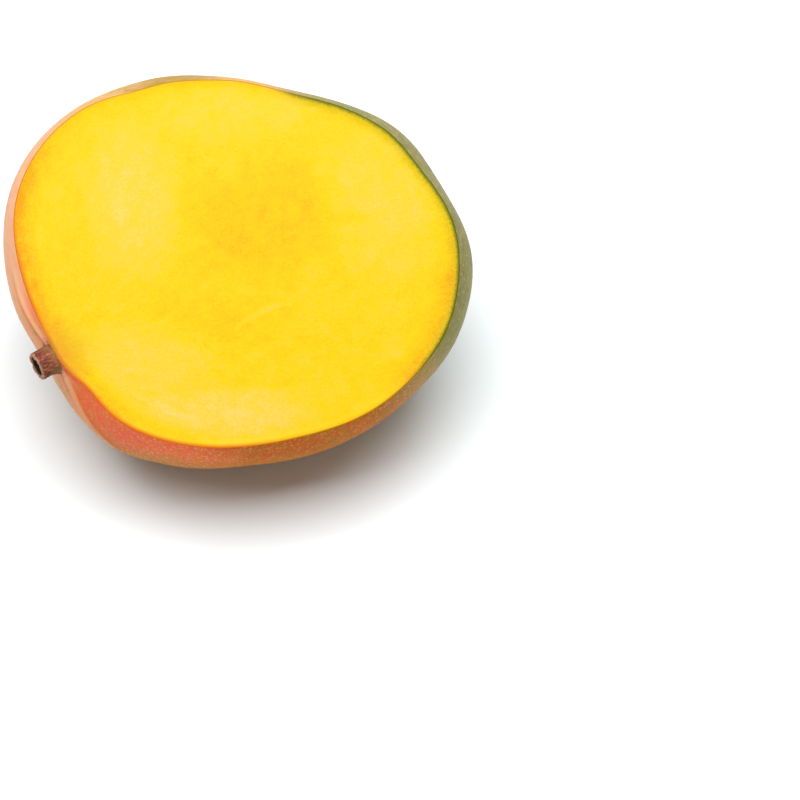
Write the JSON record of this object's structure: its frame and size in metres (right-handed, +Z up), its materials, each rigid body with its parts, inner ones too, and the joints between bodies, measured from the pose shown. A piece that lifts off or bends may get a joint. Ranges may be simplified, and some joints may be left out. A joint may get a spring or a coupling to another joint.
{
  "type": "mango with one cheek cut off",
  "caption": "Ripe mango with one cheek sliced off, showing its flat yellow flesh, red-green skin and stub of stem, lying on a small flat spot.",
  "frame": {"origin": "centre of the bounding box at the surface that the fruit lies on", "axes": "+Z up, +X along the fruit from its stem end to its tip, the cut face leans towards -Y by 25 degrees from level"},
  "size_m": [0.1178, 0.0992, 0.0801],
  "materials": {
    "fruit": "satin",
    "stem": "matte"
  },
  "bodies": {
    "root": {"mango_half": "fruit", "stem_stub": "stem"}
  },
  "joints": []
}
